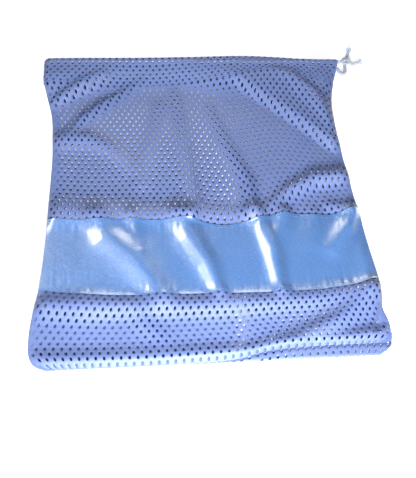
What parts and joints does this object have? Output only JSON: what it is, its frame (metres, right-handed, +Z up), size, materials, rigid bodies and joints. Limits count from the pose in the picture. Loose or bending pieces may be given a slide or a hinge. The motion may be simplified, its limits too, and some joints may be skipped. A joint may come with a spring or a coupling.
{
  "type": "drawstring mesh bag",
  "caption": "Flat drawstring bag of open mesh with a satin band sewn round it, a cord casing at the mouth and a knotted drawcord at one corner.",
  "frame": {"origin": "under the middle of the bag, on the surface it lies on", "axes": "+X across the bag towards the corner where the cord comes out, +Y from the base to the mouth, +Z up, out of the bag's front"},
  "size_m": [0.3128, 0.3204, 0.0154],
  "materials": {
    "mesh": "knitted polyester mesh with small oval holes, soft sheen",
    "satin": "smooth polyester satin, glossy across the folds",
    "cord": "braided cord, matt",
    "thread": "polyester sewing thread"
  },
  "bodies": {
    "bag": {"back_mesh_panel": "mesh", "front_mesh_panel": "mesh", "back_satin_band": "satin", "front_satin_band": "satin", "left_side_seam": "mesh", "right_side_seam": "mesh", "base_seam": "mesh", "left_base_corner": "mesh", "right_base_corner": "mesh", "front_casing": "mesh", "back_casing": "mesh", "left_casing_turn": "mesh", "front_casing_stitching": "thread", "back_casing_stitching": "thread", "front_band_upper_stitching": "thread", "front_band_lower_stitching": "thread", "back_band_upper_stitching": "thread", "back_band_lower_stitching": "thread"},
    "drawcord": {"cord_casing_run": "cord", "front_cord_strand": "cord", "back_cord_strand": "cord", "joining_knot": "cord", "front_cord_tail": "cord", "back_cord_tail": "cord", "front_cord_tip": "cord", "back_cord_tip": "cord"}
  },
  "joints": [
    {"name": "drawcord_pull", "type": "slide", "parent": "bag", "child": "drawcord", "axis": [1, 0, 0], "range_m": [0, 0.15], "deforming": ["front_casing", "back_casing", "left_casing_turn"]}
  ]
}
